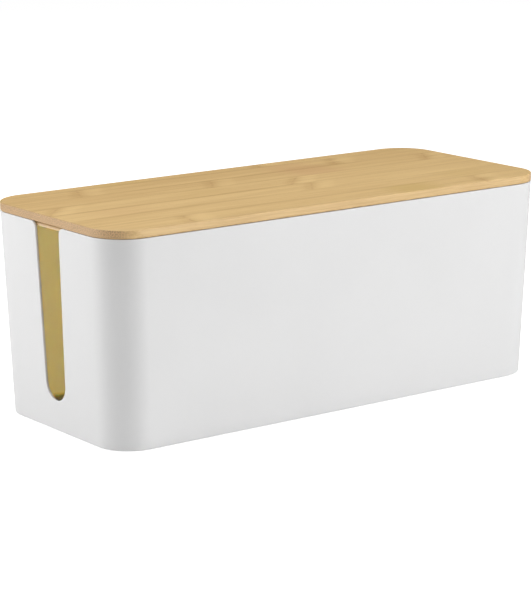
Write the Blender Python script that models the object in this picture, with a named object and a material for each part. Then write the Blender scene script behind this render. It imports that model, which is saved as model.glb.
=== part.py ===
"""Cable management box: a drafted plastic tub with a cable slot in each end, and a lift-off bamboo lid.

Units are metres. X runs along the box, Y across it, Z up. The origin is at the middle of the footprint,
on the surface that the rubber feet stand on.
"""

import math

import bmesh
import bpy
from mathutils import Matrix, Vector

MM = 0.001

# Driving dimensions
LENGTH = 400 * MM
WIDTH = 169 * MM
OVERALL_HEIGHT = 159.4 * MM
LID_THICKNESS = 6.1 * MM
FOOT_STAND = 1.0 * MM          # how far the feet hold the tub off the surface
FIT_GAP = 0.3 * MM             # gap kept between neighbouring pieces

# Tub
CORNER_RADIUS = 28.5 * MM      # in plan, at the rim
END_DRAFT = 5.7 * MM           # how far each end wall leans in from the rim to the base
SIDE_DRAFT = 4.6 * MM          # the same for each long wall
WALL = 2.0 * MM
FLOOR = 2.5 * MM
BASE_EDGE_RADIUS = 1.2 * MM
FLOOR_FILLET = 3.0 * MM

# Cable slots, one in each end wall
SLOT_TOP_HALF = 15.8 * MM      # half width where the straight sides meet the rim
SLOT_TAPER = 0.024             # how fast each side closes in on the way down
SLOT_ARC_HEIGHT = 36.0 * MM    # height of the bottom arc's centre over the underside of the tub
SLOT_MOUTH_RADIUS = 5.5 * MM

# Lid
STRIP_WIDTH = 26.0 * MM
FULL_STRIPS = 6                # a narrower strip takes up what is left at the back
LID_EDGE_RADIUS = 0.5 * MM
BOARD_INSET = 3.0 * MM         # how far the backing board is set in from the lid's edge
BOARD_DEPTH = 3.5 * MM         # how far it reaches below the rim

# Feet
FOOT_RADIUS = 7.0 * MM
FOOT_EDGE = 0.6 * MM
RECESS_DEPTH = 1.0 * MM
FOOT_FROM_END = 37.0 * MM
FOOT_FROM_SIDE = 30.0 * MM

# Roundness
CORNER_SEGMENTS = 14
BASE_EDGE_SEGMENTS = 4
FINE_EDGE_SEGMENTS = 2
SLOT_ARC_STEPS = 24
MOUTH_ARC_STEPS = 8
FOOT_SIDES = 32
CREASE_ANGLE = math.radians(30)

# Cutting
OVERRUN = 10.0 * MM            # how far a cutter, or stock that is trimmed, runs on past the finished surface
LEVEL_SLACK = 0.001 * MM       # edges this close to a height count as lying at it

# Derived levels
BASE_Z = FOOT_STAND
LID_BOTTOM_Z = OVERALL_HEIGHT - LID_THICKNESS
RIM_Z = LID_BOTTOM_Z - FIT_GAP
TUB_HEIGHT = RIM_Z - BASE_Z

PART_NAME = "cable_management_box"


def clear_scene():
    for old in list(bpy.data.objects):
        bpy.data.objects.remove(old, do_unlink=True)


def make_collection(name):
    made = bpy.data.collections.new(name)
    bpy.context.scene.collection.children.link(made)
    return made


def make_material(name, colour, roughness, metallic=0.0):
    made = bpy.data.materials.new(name)
    made.use_nodes = True
    made.diffuse_color = (*colour, 1.0)
    shader = made.node_tree.nodes["Principled BSDF"]
    shader.inputs["Base Color"].default_value = (*colour, 1.0)
    shader.inputs["Roughness"].default_value = roughness
    shader.inputs["Metallic"].default_value = metallic
    return made


def add_object(name, bm, collection, material=None, location=(0.0, 0.0, 0.0)):
    """Turn a bmesh into a smooth-shaded object with sharp creases."""
    bmesh.ops.recalc_face_normals(bm, faces=bm.faces)
    mesh = bpy.data.meshes.new(name)
    bm.to_mesh(mesh)
    bm.free()
    mesh.shade_smooth()
    mesh.set_sharp_from_angle(angle=CREASE_ANGLE)
    made = bpy.data.objects.new(name, mesh)
    made.location = location
    if material:
        mesh.materials.append(material)
    collection.objects.link(made)
    return made


def mark_cutter(cutter):
    cutter.hide_render = True
    cutter.display_type = "WIRE"


def add_boolean(target, cutter, operation="DIFFERENCE"):
    change = target.modifiers.new(cutter.name, "BOOLEAN")
    change.operation = operation
    change.solver = "EXACT"
    change.object = cutter


def round_ring(bm, height, radius, segments):
    """Round the ring of edges that lie at one height."""
    ring = [edge for edge in bm.edges if all(abs(vert.co.z - height) < LEVEL_SLACK for vert in edge.verts)]
    bmesh.ops.bevel(bm, geom=ring, offset=radius, segments=segments, profile=0.5, affect="EDGES")


def rounded_block(length, width, bottom, top, radius, drafts=(0.0, 0.0), base_edge=0.0, top_edge=0.0):
    """A block with round corners in plan, whose sides lean in by the drafts from its top to its bottom."""
    bm = bmesh.new()
    middle = Matrix.Translation((0.0, 0.0, (bottom + top) / 2))
    size = Matrix.Diagonal((length, width, top - bottom, 1.0))
    bmesh.ops.create_cube(bm, size=1.0, matrix=middle @ size)
    upright = [edge for edge in bm.edges if abs(edge.verts[0].co.z - edge.verts[1].co.z) > (top - bottom) / 2]
    bmesh.ops.bevel(bm, geom=upright, offset=radius, segments=CORNER_SEGMENTS, profile=0.5, affect="EDGES")
    for vert in bm.verts:
        if vert.co.z < (bottom + top) / 2:
            vert.co.x *= 1 - 2 * drafts[0] / length
            vert.co.y *= 1 - 2 * drafts[1] / width
    if base_edge:
        round_ring(bm, bottom, base_edge, BASE_EDGE_SEGMENTS)
    if top_edge:
        round_ring(bm, top, top_edge, FINE_EDGE_SEGMENTS)
    return bm


def arc(centre, radius, start, end, steps):
    """Points on an arc in a plane, with angles in radians."""
    turns = [start + (end - start) * step / steps for step in range(steps + 1)]
    return [(centre[0] + radius * math.cos(turn), centre[1] + radius * math.sin(turn)) for turn in turns]


def slot_outline():
    """The slot as (y, z) points, from above the rim down round the bottom arc and up again."""
    lean = math.atan(SLOT_TAPER)
    arc_z = BASE_Z + SLOT_ARC_HEIGHT
    half_at_arc = SLOT_TOP_HALF - SLOT_TAPER * (RIM_Z - arc_z)
    arc_radius = half_at_arc * math.cos(lean)
    bottom = arc((0.0, arc_z), arc_radius, math.pi + lean, 2 * math.pi - lean, SLOT_ARC_STEPS)
    mouth_z = RIM_Z - SLOT_MOUTH_RADIUS
    half_at_mouth = SLOT_TOP_HALF - SLOT_TAPER * SLOT_MOUTH_RADIUS
    mouth_y = half_at_mouth + SLOT_MOUTH_RADIUS / math.cos(lean)
    right_mouth = arc((mouth_y, mouth_z), SLOT_MOUTH_RADIUS, math.pi - lean, math.pi / 2, MOUTH_ARC_STEPS)
    left_mouth = [(-y, z) for y, z in reversed(right_mouth)]
    above = RIM_Z + OVERRUN
    return [(-mouth_y, above)] + left_mouth + bottom + right_mouth + [(mouth_y, above)]


def extruded_outline(points, half_length):
    """A prism along X with the outline given in (y, z)."""
    bm = bmesh.new()
    verts = [bm.verts.new((-half_length, y, z)) for y, z in points]
    face = bm.faces.new(verts)
    swept = bmesh.ops.extrude_face_region(bm, geom=[face])
    moved = [item for item in swept["geom"] if isinstance(item, bmesh.types.BMVert)]
    bmesh.ops.translate(bm, verts=moved, vec=Vector((2 * half_length, 0.0, 0.0)))
    return bm


def foot_places():
    """Name and centre of each foot in plan."""
    x = LENGTH / 2 - FOOT_FROM_END
    y = WIDTH / 2 - FOOT_FROM_SIDE
    return {
        "foot_front_left": (-x, -y),
        "foot_front_right": (x, -y),
        "foot_rear_left": (-x, y),
        "foot_rear_right": (x, y),
    }


def disc(radius, bottom, top, edge=0.0):
    """A short upright cylinder, with its lower rim rounded when an edge radius is given."""
    bm = bmesh.new()
    middle = Matrix.Translation((0.0, 0.0, (bottom + top) / 2))
    bmesh.ops.create_cone(bm, cap_ends=True, segments=FOOT_SIDES, radius1=radius, radius2=radius,
                          depth=top - bottom, matrix=middle)
    if edge:
        round_ring(bm, bottom, edge, FINE_EDGE_SEGMENTS)
    return bm


def build_shell(parts, cutters, material):
    drafts = (END_DRAFT, SIDE_DRAFT)
    outer = rounded_block(LENGTH, WIDTH, BASE_Z, RIM_Z, CORNER_RADIUS, drafts, base_edge=BASE_EDGE_RADIUS)
    shell = add_object("box_shell", outer, parts, material)

    # The hollow keeps the outer walls' draft, and runs on past the rim so that it opens the top.
    floor_z = BASE_Z + FLOOR
    share = (RIM_Z + OVERRUN - floor_z) / TUB_HEIGHT
    spread = OVERRUN / TUB_HEIGHT
    hollow_length = LENGTH - 2 * WALL + 2 * END_DRAFT * spread
    hollow_width = WIDTH - 2 * WALL + 2 * SIDE_DRAFT * spread
    hollow_drafts = (END_DRAFT * share, SIDE_DRAFT * share)
    hollow_bm = rounded_block(hollow_length, hollow_width, floor_z, RIM_Z + OVERRUN, CORNER_RADIUS - WALL,
                              hollow_drafts, base_edge=FLOOR_FILLET)
    hollow = add_object("cut_hollow", hollow_bm, cutters)
    slot = add_object("cut_slots", extruded_outline(slot_outline(), LENGTH / 2 + OVERRUN), cutters)
    removed = [hollow, slot]

    for name, (x, y) in foot_places().items():
        recess = disc(FOOT_RADIUS + FIT_GAP, BASE_Z - OVERRUN, BASE_Z + RECESS_DEPTH)
        removed.append(add_object(f"cut_{name}", recess, cutters, location=(x, y, 0.0)))

    for cutter in removed:
        mark_cutter(cutter)
        add_boolean(shell, cutter)


def build_strips(parts, cutters, material):
    """Bamboo strips side by side, trimmed together to the lid's outline."""
    trim_bm = rounded_block(LENGTH, WIDTH, LID_BOTTOM_Z, OVERALL_HEIGHT, CORNER_RADIUS,
                            base_edge=LID_EDGE_RADIUS, top_edge=LID_EDGE_RADIUS)
    trim = add_object("cut_lid_outline", trim_bm, cutters)
    mark_cutter(trim)
    front = -WIDTH / 2
    for index in range(FULL_STRIPS + 1):
        near = front + index * STRIP_WIDTH + (FIT_GAP / 2 if index else -OVERRUN)
        far = front + (index + 1) * STRIP_WIDTH - FIT_GAP / 2 if index < FULL_STRIPS else WIDTH / 2 + OVERRUN
        bm = bmesh.new()
        size = Matrix.Diagonal((LENGTH + 2 * OVERRUN, far - near, LID_THICKNESS + 2 * OVERRUN, 1.0))
        middle = Matrix.Translation((0.0, (near + far) / 2, LID_BOTTOM_Z + LID_THICKNESS / 2))
        bmesh.ops.create_cube(bm, size=1.0, matrix=middle @ size)
        strip = add_object(f"lid_strip_{index + 1}", bm, parts, material)
        add_boolean(strip, trim, "INTERSECT")


def build_backing_board(parts, material):
    bm = rounded_block(LENGTH - 2 * BOARD_INSET, WIDTH - 2 * BOARD_INSET, RIM_Z - BOARD_DEPTH, RIM_Z,
                       CORNER_RADIUS - BOARD_INSET, base_edge=LID_EDGE_RADIUS)
    add_object("lid_backing_board", bm, parts, material)


def build_feet(parts, material):
    for name, (x, y) in foot_places().items():
        bm = disc(FOOT_RADIUS, 0.0, FOOT_STAND + RECESS_DEPTH - FIT_GAP, edge=FOOT_EDGE)
        add_object(name, bm, parts, material, location=(x, y, 0.0))


def main():
    clear_scene()
    parts = make_collection(PART_NAME)
    cutters = make_collection("cutters")
    white_plastic = make_material("white_plastic", (0.80, 0.80, 0.79), 0.45)
    bamboo = make_material("bamboo", (0.62, 0.43, 0.21), 0.5)
    bamboo_board = make_material("bamboo_board", (0.58, 0.40, 0.20), 0.55)
    grey_rubber = make_material("grey_rubber", (0.25, 0.25, 0.25), 0.8)
    build_shell(parts, cutters, white_plastic)
    build_strips(parts, cutters, bamboo)
    build_backing_board(parts, bamboo_board)
    build_feet(parts, grey_rubber)


main()
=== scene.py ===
"""Looks of the cable management box: finely rounded meshes, bamboo, plastic and rubber, studio and camera.

Lengths are metres unless a name ends in _mm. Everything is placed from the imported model's own boxes.
"""

import math

import bmesh
import bpy
from mathutils import Matrix, Vector


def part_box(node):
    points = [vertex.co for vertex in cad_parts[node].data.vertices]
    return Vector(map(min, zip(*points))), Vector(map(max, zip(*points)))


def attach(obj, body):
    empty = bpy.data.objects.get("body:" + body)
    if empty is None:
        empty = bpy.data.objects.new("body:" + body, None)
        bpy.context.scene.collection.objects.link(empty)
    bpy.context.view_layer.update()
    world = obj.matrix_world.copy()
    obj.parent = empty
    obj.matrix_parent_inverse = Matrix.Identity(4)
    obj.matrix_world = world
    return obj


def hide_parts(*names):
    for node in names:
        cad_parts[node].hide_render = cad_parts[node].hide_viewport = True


MM = 0.001
PER_MM = 1000.0

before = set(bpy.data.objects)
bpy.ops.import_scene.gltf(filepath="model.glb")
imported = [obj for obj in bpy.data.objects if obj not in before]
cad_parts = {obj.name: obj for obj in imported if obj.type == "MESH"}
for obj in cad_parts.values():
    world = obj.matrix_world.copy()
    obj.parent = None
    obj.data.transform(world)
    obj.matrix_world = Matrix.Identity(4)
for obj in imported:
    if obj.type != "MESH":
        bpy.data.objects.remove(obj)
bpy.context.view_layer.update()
shell_low, shell_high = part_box("box_shell")
strip_low, strip_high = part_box("lid_strip_3")
board_low, board_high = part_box("lid_backing_board")

LENGTH = shell_high.x - shell_low.x
WIDTH = shell_high.y - shell_low.y
BASE_Z = shell_low.z
RIM_Z = shell_high.z
LID_BOTTOM_Z = strip_low.z
LID_TOP_Z = strip_high.z
TUB_HEIGHT = RIM_Z - BASE_Z

# Shape of the tub
CORNER_RADIUS = 28.5 * MM
END_DRAFT = 5.7 * MM
SIDE_DRAFT = 4.6 * MM
WALL = 2.0 * MM
FLOOR = 2.5 * MM
BASE_EDGE_RADIUS = 1.2 * MM
FLOOR_FILLET = 3.0 * MM
SLOT_TOP_HALF = 15.8 * MM
SLOT_TAPER = 0.024
SLOT_ARC_HEIGHT = 36.0 * MM
SLOT_MOUTH_RADIUS = 5.5 * MM
EDGE_BREAK = 0.35 * MM         # radius of the moulded edges
RECESS_GAP = 0.3 * MM
RECESS_DEPTH = 1.0 * MM
INSIDE_INDEX = 1               # the tub's second material, on the faces of the hollow
EDGE_INDEX = 2                 # the third, on the cut faces of the slots

# Shape of the lid
STRIP_WIDTH = 26.0 * MM
STRIPS = 7
LID_EDGE_RADIUS = 0.7 * MM
GLUE_LINE_BREAK = 0.08 * MM    # tiny chamfer where two strips meet
BOARD_EDGE_RADIUS = 0.5 * MM

# Shape of the feet
FOOT_EDGE_RADIUS = 0.8 * MM
FOOT_LIP = 3 * FOOT_EDGE_RADIUS    # from the foot's side to the start of its hollow
FOOT_DISH = 0.3 * MM               # how deep the hollow is
FOOT_DISH_SHARE = 0.8              # how much of the hollow's radius is level
FOOT_TOP_BREAK = 0.2 * MM

# How far the cutters run past what they cut
RIM_OVERRUN = 10 * MM
SLOT_OVERRUN = 20 * MM
RECESS_OVERRUN = 5 * MM

# Roundness and shading
CORNER_SEGMENTS = 40
BASE_EDGE_SEGMENTS = 8
TOP_EDGE_SEGMENTS = 5
EDGE_BREAK_SEGMENTS = 4
GLUE_LINE_SEGMENTS = 2
SLOT_ARC_STEPS = 48
MOUTH_ARC_STEPS = 12
FOOT_EDGE_STEPS = 6
FOOT_SIDES = 72
SHARP_DEGREES = 35
GLUE_LINE_DEGREES = 60
FLAT_FACE_WEIGHT = 80          # how strongly large flat faces lead the shading
LEVEL_SLACK = 1e-6
WELD_DISTANCE = 1e-7


# ---------------------------------------------------------------- meshes

def round_edges(bm, edges, radius, segments):
    bmesh.ops.bevel(bm, geom=edges, offset=radius, segments=segments, profile=0.5, affect="EDGES")


def rounded_block(length, width, bottom, top, radius, drafts=(0.0, 0.0), base_edge=0.0, top_edge=0.0):
    """A block with round corners in plan, whose sides lean in by the drafts from its top to its bottom."""
    bm = bmesh.new()
    middle = Matrix.Translation((0.0, 0.0, (bottom + top) / 2))
    size = Matrix.Diagonal((length, width, top - bottom, 1.0))
    bmesh.ops.create_cube(bm, size=1.0, matrix=middle @ size)
    upright = [edge for edge in bm.edges if abs(edge.verts[0].co.z - edge.verts[1].co.z) > (top - bottom) / 2]
    round_edges(bm, upright, radius, CORNER_SEGMENTS)
    for vert in bm.verts:
        if vert.co.z < (bottom + top) / 2:
            vert.co.x *= 1 - 2 * drafts[0] / length
            vert.co.y *= 1 - 2 * drafts[1] / width
    if base_edge:
        round_edges(bm, level_edges(bm, bottom), base_edge, BASE_EDGE_SEGMENTS)
    if top_edge:
        round_edges(bm, level_edges(bm, top), top_edge, TOP_EDGE_SEGMENTS)
    return bm


def level_edges(bm, height):
    """The edges that lie at one height."""
    return [edge for edge in bm.edges if all(abs(vert.co.z - height) < LEVEL_SLACK for vert in edge.verts)]


def arc(centre, radius, start, end, steps):
    """Points along an arc, from one angle to another."""
    turns = [start + (end - start) * step / steps for step in range(steps + 1)]
    return [(centre[0] + radius * math.cos(turn), centre[1] + radius * math.sin(turn)) for turn in turns]


def slot_outline():
    """The slot as (y, z) points, from above the rim down round the bottom arc and up again."""
    lean = math.atan(SLOT_TAPER)
    arc_z = BASE_Z + SLOT_ARC_HEIGHT
    half_at_arc = SLOT_TOP_HALF - SLOT_TAPER * (RIM_Z - arc_z)
    bottom = arc((0.0, arc_z), half_at_arc * math.cos(lean), math.pi + lean, 2 * math.pi - lean, SLOT_ARC_STEPS)
    mouth_z = RIM_Z - SLOT_MOUTH_RADIUS
    half_at_mouth = SLOT_TOP_HALF - SLOT_TAPER * SLOT_MOUTH_RADIUS
    mouth_y = half_at_mouth + SLOT_MOUTH_RADIUS / math.cos(lean)
    right_mouth = arc((mouth_y, mouth_z), SLOT_MOUTH_RADIUS, math.pi - lean, math.pi / 2, MOUTH_ARC_STEPS)
    left_mouth = [(-y, z) for y, z in reversed(right_mouth)]
    above = RIM_Z + RIM_OVERRUN
    return [(-mouth_y, above)] + left_mouth + bottom + right_mouth + [(mouth_y, above)]


def extruded_outline(points, half_length):
    """A prism along X with the outline given in (y, z)."""
    bm = bmesh.new()
    verts = [bm.verts.new((-half_length, y, z)) for y, z in points]
    face = bm.faces.new(verts)
    swept = bmesh.ops.extrude_face_region(bm, geom=[face])
    moved = [item for item in swept["geom"] if isinstance(item, bmesh.types.BMVert)]
    bmesh.ops.translate(bm, verts=moved, vec=Vector((2 * half_length, 0.0, 0.0)))
    return bm


def turned(profile, centre, sides):
    """A closed solid of revolution about Z from (radius, z) points that run from the axis back to the axis."""
    bm = bmesh.new()
    verts = [bm.verts.new((radius, 0.0, z)) for radius, z in profile]
    edges = [bm.edges.new(pair) for pair in zip(verts, verts[1:])]
    bmesh.ops.spin(bm, geom=verts + edges, cent=(0.0, 0.0, 0.0), axis=(0.0, 0.0, 1.0),
                   angle=2 * math.pi, steps=sides, use_merge=True)
    bmesh.ops.remove_doubles(bm, verts=bm.verts, dist=WELD_DISTANCE)
    bmesh.ops.translate(bm, verts=bm.verts, vec=Vector((centre[0], centre[1], 0.0)))
    return bm


def add_object(name, bm, materials):
    """Make an object of a mesh, and free the mesh that it was built in."""
    bmesh.ops.recalc_face_normals(bm, faces=bm.faces)
    mesh = bpy.data.meshes.new(name)
    bm.to_mesh(mesh)
    bm.free()
    for material in materials:
        mesh.materials.append(material)
    made = bpy.data.objects.new(name, mesh)
    bpy.context.scene.collection.objects.link(made)
    return made


def set_material_index(item, index):
    for polygon in item.data.polygons:
        polygon.material_index = index


def add_boolean(target, cutter):
    change = target.modifiers.new(cutter.name, "BOOLEAN")
    change.operation = "DIFFERENCE"
    change.solver = "EXACT"
    change.object = cutter


def apply_modifiers(item):
    """Replace the mesh with its evaluated self, and drop the modifiers."""
    bpy.context.view_layer.update()
    evaluated = item.evaluated_get(bpy.context.evaluated_depsgraph_get())
    made = bpy.data.meshes.new_from_object(evaluated)
    made.name = item.name
    item.modifiers.clear()
    item.data = made


def break_edges(item, width, segments, limit_degrees=SHARP_DEGREES):
    """Round every edge sharper than the limit."""
    rounding = item.modifiers.new("edge_break", "BEVEL")
    rounding.width = width
    rounding.segments = segments
    rounding.limit_method = "ANGLE"
    rounding.angle_limit = math.radians(limit_degrees)
    rounding.miter_outer = "MITER_ARC"
    apply_modifiers(item)


def shade(item):
    """Smooth shading, with normals led by the larger faces."""
    item.data.shade_smooth()
    weighting = item.modifiers.new("weighted_normals", "WEIGHTED_NORMAL")
    weighting.weight = FLAT_FACE_WEIGHT
    weighting.keep_sharp = False
    apply_modifiers(item)


# ---------------------------------------------------------------- node graphs

class Graph:
    """Short names for building a material's nodes. Numbers and sockets can both be inputs."""

    def __init__(self, name):
        self.material = bpy.data.materials.new(name)
        self.material.use_nodes = True
        self.tree = self.material.node_tree
        self.shader = self.tree.nodes["Principled BSDF"]

    def add(self, kind, **settings):
        node = self.tree.nodes.new("ShaderNode" + kind)
        for key, value in settings.items():
            setattr(node, key, value)
        return node

    def feed(self, socket, value):
        if isinstance(value, bpy.types.NodeSocket):
            self.tree.links.new(value, socket)
        else:
            socket.default_value = value

    def math(self, operation, *values):
        node = self.add("Math", operation=operation)
        for socket, value in zip(node.inputs, values):
            self.feed(socket, value)
        return node.outputs[0]

    def scale(self, value, factor):
        return self.math("MULTIPLY", value, factor)

    def swing(self, noise, amount):
        """A noise about 0.5 turned into one about 0, of the given amount."""
        return self.math("MULTIPLY", self.math("SUBTRACT", noise, 0.5), amount)

    def total(self, *values):
        result = values[0]
        for value in values[1:]:
            result = self.math("ADD", result, value)
        return result

    def step(self, value, low, high, to_low=0.0, to_high=1.0):
        """Smooth step of a value between two limits."""
        node = self.add("MapRange", interpolation_type="SMOOTHSTEP")
        for socket, item in zip(node.inputs, (value, low, high, to_low, to_high)):
            self.feed(socket, item)
        return node.outputs[0]

    def position_mm(self):
        """x, y and z of the piece's own coordinates, in millimetres."""
        coordinates = self.add("TexCoord")
        scaled = self.add("VectorMath", operation="SCALE")
        self.feed(scaled.inputs[0], coordinates.outputs["Object"])
        self.feed(scaled.inputs["Scale"], PER_MM)
        parts = self.add("SeparateXYZ")
        self.feed(parts.inputs[0], scaled.outputs[0])
        return parts.outputs

    def vector(self, x, y, z):
        node = self.add("CombineXYZ")
        for socket, value in zip(node.inputs, (x, y, z)):
            self.feed(socket, value)
        return node.outputs[0]

    def noise(self, vector, scale=1.0, detail=2.0, roughness=0.5):
        node = self.add("TexNoise")
        self.feed(node.inputs["Vector"], vector)
        self.feed(node.inputs["Scale"], scale)
        self.feed(node.inputs["Detail"], detail)
        self.feed(node.inputs["Roughness"], roughness)
        return node.outputs[0]

    def mix(self, factor, first, second):
        node = self.add("Mix", data_type="RGBA", blend_type="MIX")
        self.feed(node.inputs[0], factor)
        for socket, value in ((node.inputs[6], first), (node.inputs[7], second)):
            self.feed(socket, value if isinstance(value, bpy.types.NodeSocket) else (*value, 1.0))
        return node.outputs[2]

    def bump(self, height, distance, strength):
        node = self.add("Bump")
        self.feed(node.inputs["Strength"], strength)
        self.feed(node.inputs["Distance"], distance)
        self.feed(node.inputs["Height"], height)
        return node.outputs[0]

    def surface(self, **values):
        for name, value in values.items():
            self.feed(self.shader.inputs[name.replace("_", " ")], value)


# ---------------------------------------------------------------- materials

# What sets each strip apart, from the front: its tone, a patch of another hue (where along X in mm, and from
# -1 yellowish to 1 reddish), where its two knuckles lie in mm, and how much they slant.
STRIP_LOOKS = (
    (0.57, 76.0, -1.0, -128.0, 142.0, 0.20),
    (0.53, 150.0, -0.4, -262.0, 262.0, 0.35),
    (0.60, -150.0, 0.4, 21.0, -262.0, 0.70),
    (0.55, -60.0, -0.3, 24.0, -190.0, 0.95),
    (0.44, 64.0, 1.0, -34.0, 176.0, 0.60),
    (0.40, 58.0, 0.7, -136.0, 102.0, 0.45),
    (0.42, -90.0, -0.6, 46.0, -262.0, 0.50),
)
# How dark each seam is, from the lid's front edge to its back edge, and the middle and half length of its
# darkest stretch in mm.
SEAM_LOOKS = (
    (0.45, -60.0, 90.0),
    (0.40, -10.0, 90.0),
    (0.55, -100.0, 85.0),
    (1.00, -100.0, 92.0),
    (0.40, -150.0, 60.0),
    (0.85, 12.0, 105.0),
    (0.40, -60.0, 90.0),
    (0.10, 0.0, 60.0),
)
LOOKS_SPAN_MM = 640.0          # places along X are stored as a share of this span, about the middle
GRAIN_SHIFT_MM = 173.0         # how far the grain is moved on from each strip to the next
KNUCKLE_WAVER_MM = 8.0
KNUCKLE_RAGGED_MM = 13.0
PATCH_RAGGED_MM = 40.0
SEAM_RAGGED_MM = 90.0
SEAM_WANDER_MM = 3.0


def stored_place(x_mm):
    """A place along X as the share of the span that a ramp can hold."""
    return x_mm / LOOKS_SPAN_MM + 0.5


class Bamboo:
    """The coordinates and streaky noises that the bamboo's colours and relief are made from."""

    def __init__(self, graph):
        self.graph = graph
        self.x, self.y, self.z = graph.position_mm()
        self.width = STRIP_WIDTH * PER_MM
        self.across = graph.math("SUBTRACT", self.y, shell_low.y * PER_MM)
        self.index = graph.math("FLOOR", graph.math("DIVIDE", self.across, self.width))
        # The grain starts afresh in each strip.
        self.along = graph.math("ADD", self.x, graph.scale(self.index, GRAIN_SHIFT_MM))
        self.fibres = self.streaks(0.035, 2.4, detail=3.0, roughness=0.6)
        self.strands = self.streaks(0.014, 0.55)
        self.bands = self.streaks(0.008, 0.13)
        self.pores = self.streaks(0.09, 3.2, detail=1.0)

    def streaks(self, along_scale, across_scale, **settings):
        """Noise stretched along the grain; the scales are cycles for each millimetre."""
        graph = self.graph
        place = graph.vector(graph.scale(self.along, along_scale), graph.scale(self.y, across_scale),
                             graph.scale(self.z, across_scale))
        return graph.noise(place, **settings)

    def lookup(self, index, rows):
        """Three values for each index, from a ramp with one constant step for each row."""
        graph = self.graph
        ramp = graph.add("ValToRGB")
        ramp.color_ramp.interpolation = "CONSTANT"
        graph.feed(ramp.inputs[0], graph.math("DIVIDE", graph.math("ADD", index, 0.5), float(len(rows))))
        for number, row in enumerate(rows):
            if number >= 2:
                ramp.color_ramp.elements.new(number / len(rows))
            ramp.color_ramp.elements[number].position = number / len(rows)
            ramp.color_ramp.elements[number].color = (*row, 1.0)
        parts = graph.add("SeparateColor")
        graph.feed(parts.inputs[0], ramp.outputs[0])
        return parts.outputs

    def place(self, stored):
        """A place along X in millimetres, from its stored share of the span."""
        return self.graph.swing(stored, LOOKS_SPAN_MM)

    def knuckles(self, first, second, slant):
        """Masks of the knuckles: a broken line, the brown smear around it, and the paler wood beside it."""
        graph = self.graph
        local = graph.math("SUBTRACT", self.across, graph.scale(self.index, self.width))
        lean = graph.math("MULTIPLY", slant, graph.math("SUBTRACT", local, self.width / 2))
        waver = graph.noise(graph.vector(graph.scale(self.y, 0.20), self.index, 3.0))
        bend = graph.swing(waver, KNUCKLE_WAVER_MM)
        ragged = graph.swing(self.strands, KNUCKLE_RAGGED_MM)
        masks = []
        for stored in (first, second):
            offset = graph.math("SUBTRACT", graph.math("SUBTRACT", self.x, self.place(stored)),
                                graph.math("ADD", lean, bend))
            blurred = graph.math("ADD", offset, ragged)
            from_smear = graph.math("ABSOLUTE", graph.math("ADD", blurred, 2.0))
            from_pale = graph.math("ABSOLUTE", graph.math("SUBTRACT", blurred, 14.0))
            masks.append((graph.step(graph.math("ABSOLUTE", offset), 0.2, 1.6, 1.0, 0.0),
                          graph.step(from_smear, 1.0, 9.0, 1.0, 0.0),
                          graph.step(from_pale, 2.0, 11.0, 1.0, 0.0)))
        line, smear, pale = (graph.math("MAXIMUM", *pair) for pair in zip(*masks))
        broken = graph.noise(graph.vector(graph.scale(self.y, 0.35), self.index, 8.0), detail=3.0)
        line = graph.math("MULTIPLY", line, graph.step(broken, 0.40, 0.62))
        smear = graph.math("MULTIPLY", smear, graph.step(broken, 0.30, 0.70, 0.35, 1.0))
        return line, smear, pale

    def patch(self, stored):
        """Mask of the strip's patch of another hue."""
        graph = self.graph
        offset = graph.math("SUBTRACT", self.x, self.place(stored))
        ragged = graph.swing(self.strands, PATCH_RAGGED_MM)
        return graph.step(graph.math("ABSOLUTE", graph.math("ADD", offset, ragged)), 6.0, 34.0, 1.0, 0.0)

    def seams(self):
        """Masks of the seams between strips: the soft dark streak about each, and the glue line itself."""
        graph = self.graph
        nearest = graph.math("FLOOR", graph.math("ADD", graph.math("DIVIDE", self.across, self.width), 0.5))
        offset = graph.math("SUBTRACT", self.across, graph.scale(nearest, self.width))
        rows = [(dark, stored_place(middle), half / LOOKS_SPAN_MM) for dark, middle, half in SEAM_LOOKS]
        dark, middle, half = self.lookup(nearest, rows)[:3]
        reach = graph.math("ABSOLUTE", graph.math("SUBTRACT", self.x, self.place(middle)))
        ragged = graph.swing(self.bands, SEAM_RAGGED_MM)
        past = graph.math("SUBTRACT", graph.math("ADD", reach, ragged), graph.scale(half, LOOKS_SPAN_MM))
        stretch = graph.step(past, -25.0, 25.0, 1.0, 0.25)
        wander = graph.swing(self.strands, SEAM_WANDER_MM)
        streak = graph.step(graph.math("ABSOLUTE", graph.math("ADD", offset, wander)), 0.2, 3.4, 1.0, 0.0)
        streak = graph.math("MULTIPLY", streak, graph.math("MULTIPLY", dark, stretch))
        glue = graph.step(graph.math("ABSOLUTE", offset), 0.10, 0.50, 1.0, 0.0)
        return streak, glue


def darker(colour, share):
    return tuple(channel * share for channel in colour)


def end_grain(graph, bamboo, tone, colour):
    """The cut ends: rows of dark fibre bundles, closer and larger towards the culm's outside, the top face."""
    height = graph.math("DIVIDE", graph.math("SUBTRACT", bamboo.z, LID_BOTTOM_Z * PER_MM),
                        (LID_TOP_Z - LID_BOTTOM_Z) * PER_MM)
    cells = graph.add("TexVoronoi", voronoi_dimensions="2D", feature="F1")
    graph.feed(cells.inputs["Vector"], graph.vector(bamboo.y, bamboo.z, 0.0))
    graph.feed(cells.inputs["Scale"], 0.85)
    graph.feed(cells.inputs["Randomness"], 0.55)
    radius = graph.math("ADD", 0.20, graph.scale(height, 0.12))
    dots = graph.step(graph.math("SUBTRACT", cells.outputs["Distance"], radius), -0.04, 0.12, 1.0, 0.0)
    layers = graph.noise(graph.vector(graph.scale(bamboo.y, 0.03), graph.scale(bamboo.z, 1.1), bamboo.index))
    ground = graph.mix(graph.step(graph.math("ADD", layers, graph.scale(tone, 0.8)), 0.25, 0.75),
                       darker(colour, 0.88), colour)
    return graph.mix(graph.scale(dots, 0.60), ground, darker(colour, 0.42))


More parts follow.
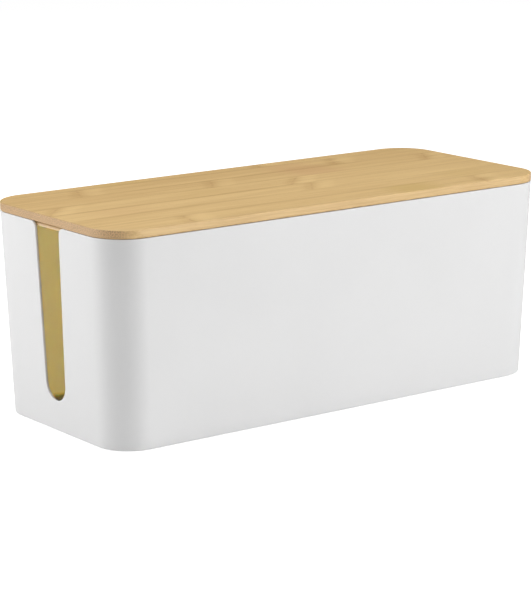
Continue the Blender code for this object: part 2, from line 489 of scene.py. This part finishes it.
def side_grain(graph, bamboo):
    """The long edges: paler wood in fine lengthwise lines, with dark dashes along the lower arris that are
    partly torn fibres and partly painted shade of the gap under the lid.
    """
    lines = graph.math("ADD", graph.scale(bamboo.fibres, 0.5), graph.scale(bamboo.strands, 0.5))
    ground = graph.mix(graph.step(lines, 0.36, 0.64), (0.675, 0.445, 0.19), (0.84, 0.585, 0.276))
    bottom = LID_BOTTOM_Z * PER_MM
    # Dark dashes low on the long edges: partly torn fibres, partly painted shade of the thin gap between the
    # lid and the rim.
    low = graph.step(bamboo.z, bottom + 0.3, bottom + 1.2, 1.0, 0.0)
    torn_fibres_and_gap_shade = graph.noise(graph.vector(graph.scale(bamboo.x, 0.22), graph.scale(bamboo.z, 0.9), 5.0), detail=3.0)
    dark = graph.math("MULTIPLY", low, graph.step(torn_fibres_and_gap_shade, 0.46, 0.62, 0.10, 0.75))
    return graph.mix(dark, ground, (0.34, 0.19, 0.07))


def bamboo_material(name, light, dark, end_colour):
    """Flat-laid bamboo strips: streaky faces with knuckles and seams, dotted ends and lined long edges."""
    graph = Graph(name)
    bamboo = Bamboo(graph)
    stored = [(stored_place(first), stored_place(second), slant)
              for _, _, _, first, second, slant in STRIP_LOOKS]
    line, smear, pale = bamboo.knuckles(*bamboo.lookup(bamboo.index, stored)[:3])
    stored = [(tone, stored_place(place), hue / 2 + 0.5) for tone, place, hue, _, _, _ in STRIP_LOOKS]
    tone, patch_place, hue = bamboo.lookup(bamboo.index, stored)[:3]
    tone = graph.math("SUBTRACT", tone, 0.5)
    patch = bamboo.patch(patch_place)
    redness = graph.math("MULTIPLY", patch, graph.step(hue, 0.5, 1.0))
    yellowness = graph.math("MULTIPLY", patch, graph.step(hue, 0.0, 0.5, 1.0, 0.0))
    streak, glue = bamboo.seams()
    dashes = graph.step(bamboo.pores, 0.60, 0.74)

    # How light the wood is, from 0 for the dark colour to 1 for the light one.
    level = graph.total(
        0.56, graph.scale(tone, 0.80),
        graph.swing(bamboo.fibres, 0.55), graph.swing(bamboo.strands, 0.50), graph.swing(bamboo.bands, 0.45),
        graph.scale(dashes, -0.16), graph.scale(smear, -0.26), graph.scale(pale, 0.13),
        graph.scale(streak, -0.36), graph.scale(yellowness, -0.10), graph.scale(redness, -0.06))
    colour = graph.mix(graph.step(level, 0.0, 1.0), dark, light)
    for mask, strength, over in ((redness, 0.30, (0.66, 0.37, 0.19)), (yellowness, 0.30, (0.62, 0.44, 0.12)),
                                 (line, 0.45, (0.44, 0.22, 0.085)), (glue, 0.22, (0.34, 0.20, 0.08))):
        colour = graph.mix(graph.scale(mask, strength), colour, over)

    facing = graph.add("SeparateXYZ")
    graph.feed(facing.inputs[0], graph.add("TexCoord").outputs["Normal"])
    toward_end = graph.step(graph.math("ABSOLUTE", facing.outputs[0]), 0.30, 0.75)
    toward_side = graph.step(graph.math("ABSOLUTE", facing.outputs[1]), 0.55, 0.95)
    colour = graph.mix(graph.scale(toward_side, 0.85), colour, side_grain(graph, bamboo))
    colour = graph.mix(toward_end, colour, end_grain(graph, bamboo, tone, end_colour))

    relief = graph.total(graph.scale(bamboo.fibres, 0.6), graph.scale(dashes, -0.5), graph.scale(line, 0.8))
    graph.surface(Base_Color=colour,
                  Roughness=graph.step(bamboo.fibres, 0.2, 0.8, 0.58, 0.46),
                  Normal=graph.bump(relief, 0.05 * MM, 0.6))
    graph.surface(Coat_Weight=0.12, Coat_Roughness=0.40, Coat_IOR=1.45)
    return graph.material


TEXTURE_MM = 0.35              # size of the moulded texture's grains
TEXTURE_DEPTH_MM = 0.02


def plastic_material(name, colour, roughness, scatter, depth_mm, depth_tint):
    """Moulded plastic with the fine even texture of a spark-eroded tool, which scatters light inside it."""
    graph = Graph(name)
    x, y, z = graph.position_mm()
    place = graph.vector(x, y, z)
    grain = graph.noise(place, scale=1 / TEXTURE_MM, detail=2.0, roughness=0.6)
    flow = graph.noise(place, scale=0.012, detail=2.0)
    tint = graph.mix(graph.step(flow, 0.3, 0.7), darker(colour, 0.985), colour)
    speck = graph.mix(graph.scale(graph.step(grain, 0.55, 0.8), 0.035), tint, darker(colour, 0.80))
    graph.surface(Base_Color=speck,
                  Roughness=graph.step(grain, 0.3, 0.7, roughness - 0.04, roughness + 0.05),
                  Normal=graph.bump(grain, TEXTURE_DEPTH_MM * MM, 0.5))
    graph.surface(Subsurface_Weight=scatter, Subsurface_Scale=depth_mm * MM,
                  Subsurface_Radius=depth_tint)
    return graph.material


def rubber_material(name, colour):
    """Matt rubber with a little dust on it."""
    graph = Graph(name)
    x, y, z = graph.position_mm()
    place = graph.vector(x, y, z)
    grain = graph.noise(place, scale=3.0, detail=3.0)
    dust = graph.noise(place, scale=0.5, detail=2.0)
    dusty = tuple(0.3 + channel * 0.6 for channel in colour)
    tint = graph.mix(graph.step(dust, 0.45, 0.8, 0.0, 0.35), colour, dusty)
    graph.surface(Base_Color=tint, Roughness=graph.step(grain, 0.3, 0.7, 0.72, 0.90),
                  Normal=graph.bump(grain, 0.03 * MM, 0.5))
    return graph.material


# ---------------------------------------------------------------- pieces

def foot_nodes():
    return [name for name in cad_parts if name.startswith("foot_")]


def foot_place(node):
    """A foot's centre in plan, and its radius."""
    low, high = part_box(node)
    return ((low.x + high.x) / 2, (low.y + high.y) / 2), (high.x - low.x) / 2


def build_tub(outside, inside, edge):
    """The tub: a drafted block with the hollow, both slots and the foot recesses cut out of it."""
    outer = rounded_block(LENGTH, WIDTH, BASE_Z, RIM_Z, CORNER_RADIUS, (END_DRAFT, SIDE_DRAFT),
                          BASE_EDGE_RADIUS)
    tub = add_object("tub", outer, (outside, inside, edge))

    # The hollow keeps the outer walls' draft, and runs on past the rim so that it opens the top.
    floor_z = BASE_Z + FLOOR
    share = (RIM_Z + RIM_OVERRUN - floor_z) / TUB_HEIGHT
    spread = RIM_OVERRUN / TUB_HEIGHT
    hollow_length = LENGTH - 2 * WALL + 2 * END_DRAFT * spread
    hollow_width = WIDTH - 2 * WALL + 2 * SIDE_DRAFT * spread
    hollow_bm = rounded_block(hollow_length, hollow_width, floor_z, RIM_Z + RIM_OVERRUN,
                              CORNER_RADIUS - WALL, (END_DRAFT * share, SIDE_DRAFT * share), FLOOR_FILLET)
    hollow = add_object("cut_hollow", hollow_bm, (outside, inside))
    set_material_index(hollow, INSIDE_INDEX)
    slots_bm = extruded_outline(slot_outline(), LENGTH / 2 + SLOT_OVERRUN)
    slots = add_object("cut_slots", slots_bm, (outside, inside, edge))
    set_material_index(slots, EDGE_INDEX)
    cutters = [hollow, slots]
    for node in foot_nodes():
        centre, radius = foot_place(node)
        radius += RECESS_GAP
        low_z = BASE_Z - RECESS_OVERRUN
        high_z = BASE_Z + RECESS_DEPTH
        recess = turned([(0.0, low_z), (radius, low_z), (radius, high_z), (0.0, high_z)], centre, FOOT_SIDES)
        cutters.append(add_object("cut_" + node, recess, (outside,)))
    for cutter in cutters:
        add_boolean(tub, cutter)
    apply_modifiers(tub)
    for cutter in cutters:
        bpy.data.objects.remove(cutter)
    break_edges(tub, EDGE_BREAK, EDGE_BREAK_SEGMENTS)
    shade(tub)
    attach(tub, "box")
    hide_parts("box_shell")


def cut_side(bm, y, outward):
    """Cut a mesh at a plane across Y, keep the side away from outward, and close the cut."""
    geometry = list(bm.verts) + list(bm.edges) + list(bm.faces)
    cut = bmesh.ops.bisect_plane(bm, geom=geometry, dist=WELD_DISTANCE, plane_co=(0.0, y, 0.0),
                                 plane_no=(0.0, outward, 0.0), clear_outer=True)
    edges = [item for item in cut["geom_cut"] if isinstance(item, bmesh.types.BMEdge)]
    bmesh.ops.edgeloop_fill(bm, edges=edges)


def build_strips(material):
    """The lid's face: one rounded board, cut along into strips."""
    for number in range(STRIPS):
        bm = rounded_block(LENGTH, WIDTH, LID_BOTTOM_Z, LID_TOP_Z, CORNER_RADIUS,
                           base_edge=LID_EDGE_RADIUS, top_edge=LID_EDGE_RADIUS)
        if number > 0:
            cut_side(bm, shell_low.y + number * STRIP_WIDTH, -1.0)
        if number < STRIPS - 1:
            cut_side(bm, shell_low.y + (number + 1) * STRIP_WIDTH, 1.0)
        strip = add_object(f"bamboo_strip_{number + 1}", bm, (material,))
        break_edges(strip, GLUE_LINE_BREAK, GLUE_LINE_SEGMENTS, GLUE_LINE_DEGREES)
        shade(strip)
        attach(strip, "lid")
        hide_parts(f"lid_strip_{number + 1}")


def build_backing_board(material):
    """The thinner board under the strips, whose sides stand inside the rim."""
    inset = board_low.x - shell_low.x
    bm = rounded_block(board_high.x - board_low.x, board_high.y - board_low.y, board_low.z,
                       LID_BOTTOM_Z, CORNER_RADIUS - inset, base_edge=BOARD_EDGE_RADIUS)
    board = add_object("backing_board", bm, (material,))
    shade(board)
    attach(board, "lid")
    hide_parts("lid_backing_board")


def build_feet(material):
    """The round feet, each with a shallow hollow in its underside."""
    for node in foot_nodes():
        low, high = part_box(node)
        centre, radius = foot_place(node)
        lip = radius - FOOT_LIP
        dish_z = low.z + FOOT_DISH
        profile = [(0.0, dish_z), (lip * FOOT_DISH_SHARE, dish_z), (lip, low.z)]
        profile += arc((radius - FOOT_EDGE_RADIUS, low.z + FOOT_EDGE_RADIUS), FOOT_EDGE_RADIUS,
                       -math.pi / 2, 0.0, FOOT_EDGE_STEPS)
        profile += [(radius, high.z - FOOT_TOP_BREAK), (radius - FOOT_TOP_BREAK, high.z), (0.0, high.z)]
        foot = add_object("rubber_" + node, turned(profile, centre, FOOT_SIDES), (material,))
        foot.data.shade_smooth()
        foot.data.set_sharp_from_angle(angle=math.radians(SHARP_DEGREES))
        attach(foot, "box")
        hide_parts(node)


# ---------------------------------------------------------------- studio

AIM = Vector((0.0, 0.0, 0.08))         # where every softbox points
FLOOR_HALF_SIZE = 12.0
FLOOR_COLOUR = (0.80, 0.80, 0.80)
FLOOR_WASH = 0.96                      # how much white the camera sees over the floor
WHITE = (1.0, 1.0, 1.0, 1.0)
# Name, turn in degrees, distance and height, size, watts
SOFTBOXES = (
    ("overhead_softbox", 0.0, 0.0, 1.30, (1.8, 1.4), 15.4),
    ("front_softbox", 15.0, 2.0, 0.35, (1.2, 0.7), 7.3),
    ("right_softbox", 30.0, 2.0, 0.35, (1.2, 0.7), 10.7),
    ("high_right_softbox", 45.0, 1.8, 1.00, (1.2, 0.7), 7.7),
    ("left_softbox", -120.0, 1.3, 0.35, (0.8, 0.6), 6.2),
    ("high_left_softbox", -105.0, 1.2, 0.90, (0.8, 0.6), 4.6),
)
CAMERA_TURN = -36.54                   # degrees, from straight in front of the box towards +X
CAMERA_ELEVATION = 12.73
CAMERA_ROLL = -0.26
CAMERA_DISTANCE = 1.8328
CAMERA_SIDE = -0.00688
CAMERA_RISE = 0.0682
CAMERA_LENS_MM = 143.48
SENSOR_WIDTH_MM = 36.0
LIGHT_BOUNCES = 16
DIFFUSE_BOUNCES = 12                   # light that comes through the walls is reflected many times inside


def brightness_for_camera(tree, seen):
    """A value that is one number where the camera looks, and nothing for every other ray."""
    rays = tree.nodes.new("ShaderNodeLightPath")
    product = tree.nodes.new("ShaderNodeMath")
    product.operation = "MULTIPLY"
    tree.links.new(rays.outputs["Is Camera Ray"], product.inputs[0])
    product.inputs[1].default_value = seen
    return product.outputs[0]


def build_floor():
    """A pale floor, which the camera sees washed out to white as under a product photographer's lights."""
    bm = bmesh.new()
    bmesh.ops.create_grid(bm, x_segments=1, y_segments=1, size=FLOOR_HALF_SIZE)
    graph = Graph("studio_floor")
    graph.surface(Base_Color=(*FLOOR_COLOUR, 1.0), Roughness=0.9, Specular_IOR_Level=0.1)
    graph.surface(Emission_Color=WHITE, Emission_Strength=brightness_for_camera(graph.tree, FLOOR_WASH))
    floor = add_object("studio_floor", bm, (graph.material,))


def build_world():
    """An even white backdrop where the camera looks past the floor. It lights nothing."""
    world = bpy.data.worlds.new("studio")
    bpy.context.scene.world = world
    world.use_nodes = True
    tree = world.node_tree
    backdrop = tree.nodes["Background"]
    backdrop.inputs["Color"].default_value = WHITE
    tree.links.new(brightness_for_camera(tree, 1.0), backdrop.inputs["Strength"])


def add_softbox(name, turn_degrees, distance, height, size, power):
    """A soft light that faces the box, turned about Z from straight in front of it towards +X."""
    turn = math.radians(turn_degrees)
    data = bpy.data.lights.new(name, "AREA")
    data.shape = "RECTANGLE"
    data.size, data.size_y = size
    data.energy = power
    light = bpy.data.objects.new(name, data)
    light.location = (distance * math.sin(turn), -distance * math.cos(turn), height)
    light.rotation_euler = (AIM - light.location).to_track_quat("-Z", "Y").to_euler()
    light.visible_camera = False
    bpy.context.scene.collection.objects.link(light)


def build_camera():
    """A long lens at the viewing angle of a product picture, turned a touch about its own axis."""
    turned_by = math.radians(CAMERA_TURN)
    elevation = math.radians(CAMERA_ELEVATION)
    roll = math.radians(CAMERA_ROLL)
    back = Vector((math.sin(turned_by) * math.cos(elevation), -math.cos(turned_by) * math.cos(elevation),
                   math.sin(elevation)))
    level_right = Vector((math.cos(turned_by), math.sin(turned_by), 0.0))
    level_up = back.cross(level_right)
    right = level_right * math.cos(roll) + level_up * math.sin(roll)
    up = level_up * math.cos(roll) - level_right * math.sin(roll)
    data = bpy.data.cameras.new("camera")
    data.lens = CAMERA_LENS_MM
    data.sensor_width = SENSOR_WIDTH_MM
    data.clip_start, data.clip_end = 0.05, 60.0
    camera = bpy.data.objects.new("camera", data)
    axes = Matrix((right, up, back)).transposed().to_4x4()
    place = back * CAMERA_DISTANCE + right * CAMERA_SIDE + up * CAMERA_RISE + Vector((0.0, 0.0, BASE_Z))
    camera.matrix_world = Matrix.Translation(place) @ axes
    bpy.context.scene.collection.objects.link(camera)
    bpy.context.scene.camera = camera


def build_studio():
    build_floor()
    build_world()
    for softbox in SOFTBOXES:
        add_softbox(*softbox)
    build_camera()
    scene = bpy.context.scene
    scene.view_settings.view_transform = "Standard"
    scene.cycles.use_denoising = True
    scene.cycles.max_bounces = LIGHT_BOUNCES
    scene.cycles.diffuse_bounces = DIFFUSE_BOUNCES


white_plastic = plastic_material("white_plastic", (0.82, 0.82, 0.82), roughness=0.45, scatter=0.3,
                                 depth_mm=1.5, depth_tint=(1.0, 1.0, 1.0))
# The slots' cut faces are the same plastic as the walls. This lighter, deeper-scattering copy is painted light
# that lifts the shade on them.
cut_face_plastic_painted_light = plastic_material("cut_face_plastic_painted_light", (0.96, 0.96, 0.95), roughness=0.45, scatter=1.0,
                                depth_mm=14.0, depth_tint=(1.0, 1.0, 1.0))
# The hollow's faces are the same white plastic as the outside. Their cream colour and warm scatter are painted
# bounce light from the bamboo lid, not a colour of their own.
inside_plastic_painted_bounce_light = plastic_material("inside_plastic_painted_bounce_light", (0.976, 0.857, 0.585), roughness=0.50, scatter=1.0,
                                 depth_mm=25.0, depth_tint=(1.0, 0.56, 0.245))
bamboo = bamboo_material("bamboo", light=(0.845, 0.598, 0.278), dark=(0.575, 0.365, 0.146),
                         end_colour=(0.68, 0.44, 0.225))
# The board's ends are much lighter than the lid's. This is painted light, because they sit in the shade under
# the lid where they show through the slots.
board_bamboo_painted_light = bamboo_material("bamboo_board", light=(0.78, 0.56, 0.27), dark=(0.55, 0.36, 0.15),
                               end_colour=(0.88, 0.64, 0.38))
grey_rubber = rubber_material("grey_rubber", (0.22, 0.22, 0.22))

build_tub(white_plastic, inside_plastic_painted_bounce_light, cut_face_plastic_painted_light)
build_strips(bamboo)
build_backing_board(board_bamboo_painted_light)
build_feet(grey_rubber)
build_studio()
